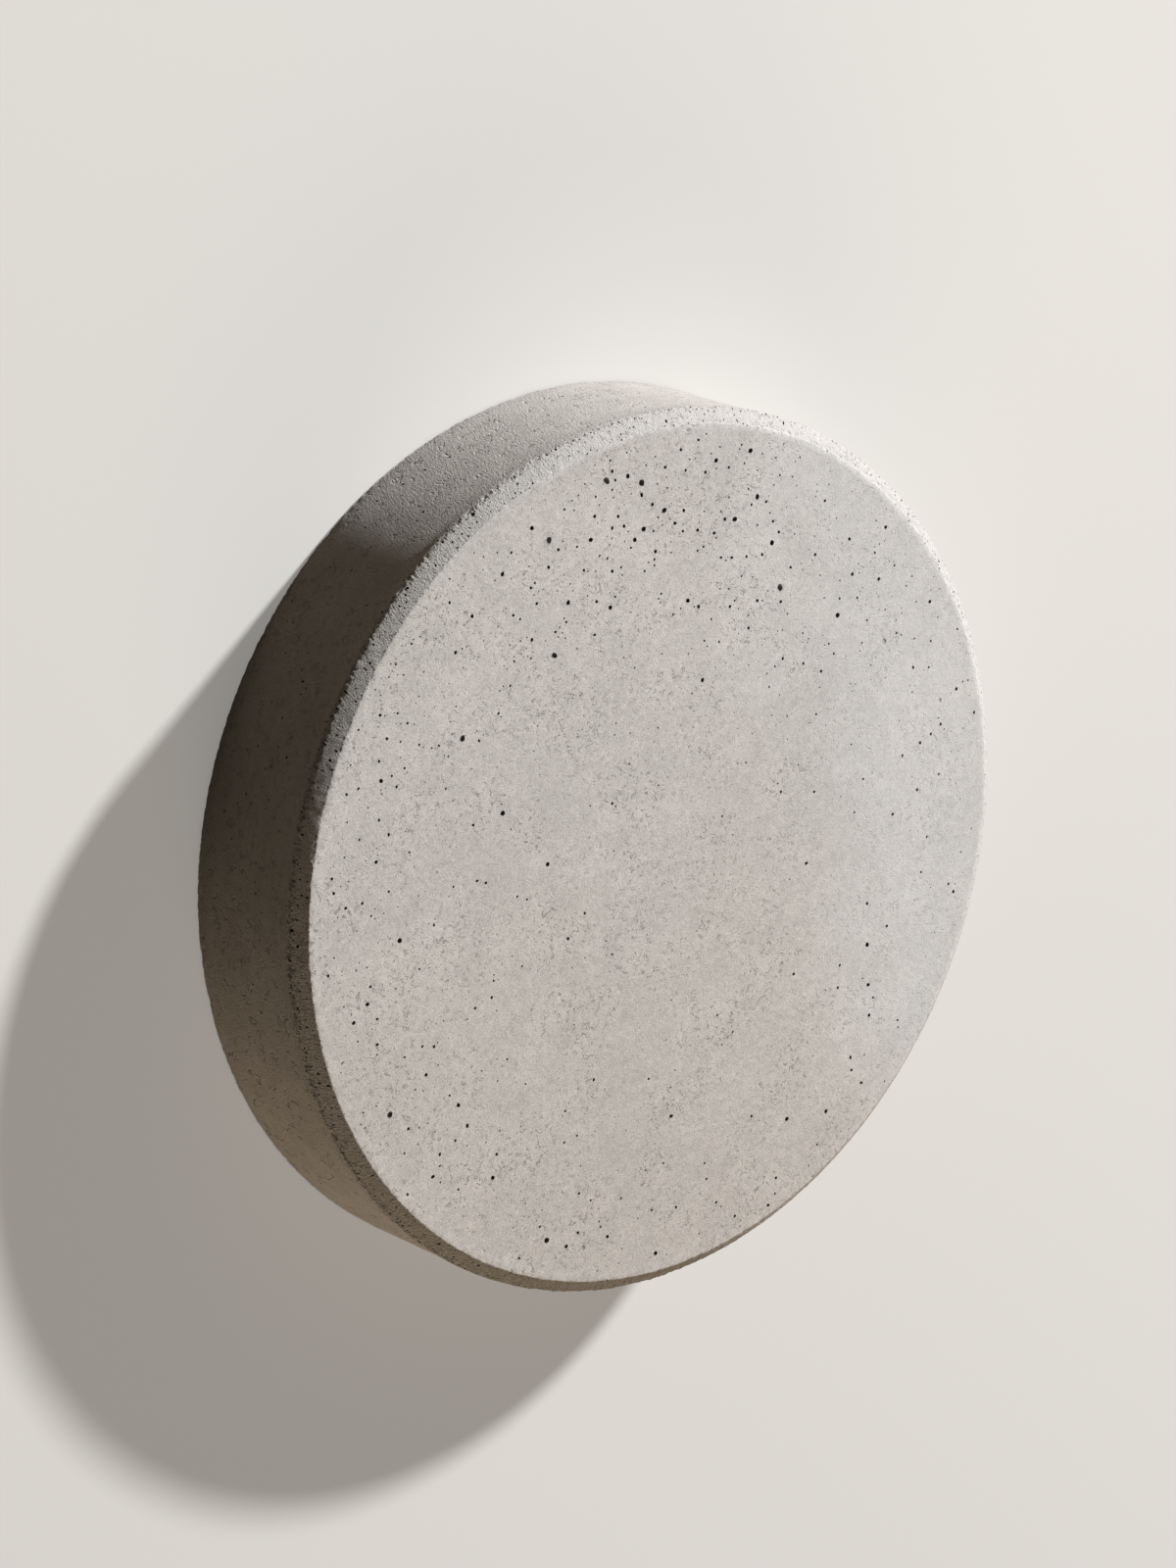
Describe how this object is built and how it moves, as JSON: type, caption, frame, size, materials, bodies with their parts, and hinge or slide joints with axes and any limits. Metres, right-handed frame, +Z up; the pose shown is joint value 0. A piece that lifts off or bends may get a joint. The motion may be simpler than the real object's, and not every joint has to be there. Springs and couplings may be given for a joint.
{
  "type": "stepping stone",
  "caption": "Round concrete garden stepping stone with a chamfered tread face and a plain flat underside, laid in a path or lawn to walk on.",
  "frame": {"origin": "centre of the flat underside, on the ground it lies on", "axes": "+Z up along the disc's axis, out of the chamfered tread face; +Y in the tread's plane is the way that points up in the picture, where the stone stands on its edge; +X completes the right-handed frame"},
  "size_m": [0.3, 0.3, 0.054],
  "materials": {
    "concrete": "dry cast concrete, pale warm grey, matt, with fine sand grain and small air-bubble pores"
  },
  "bodies": {
    "root": {"stepping_stone": "concrete"}
  },
  "joints": []
}
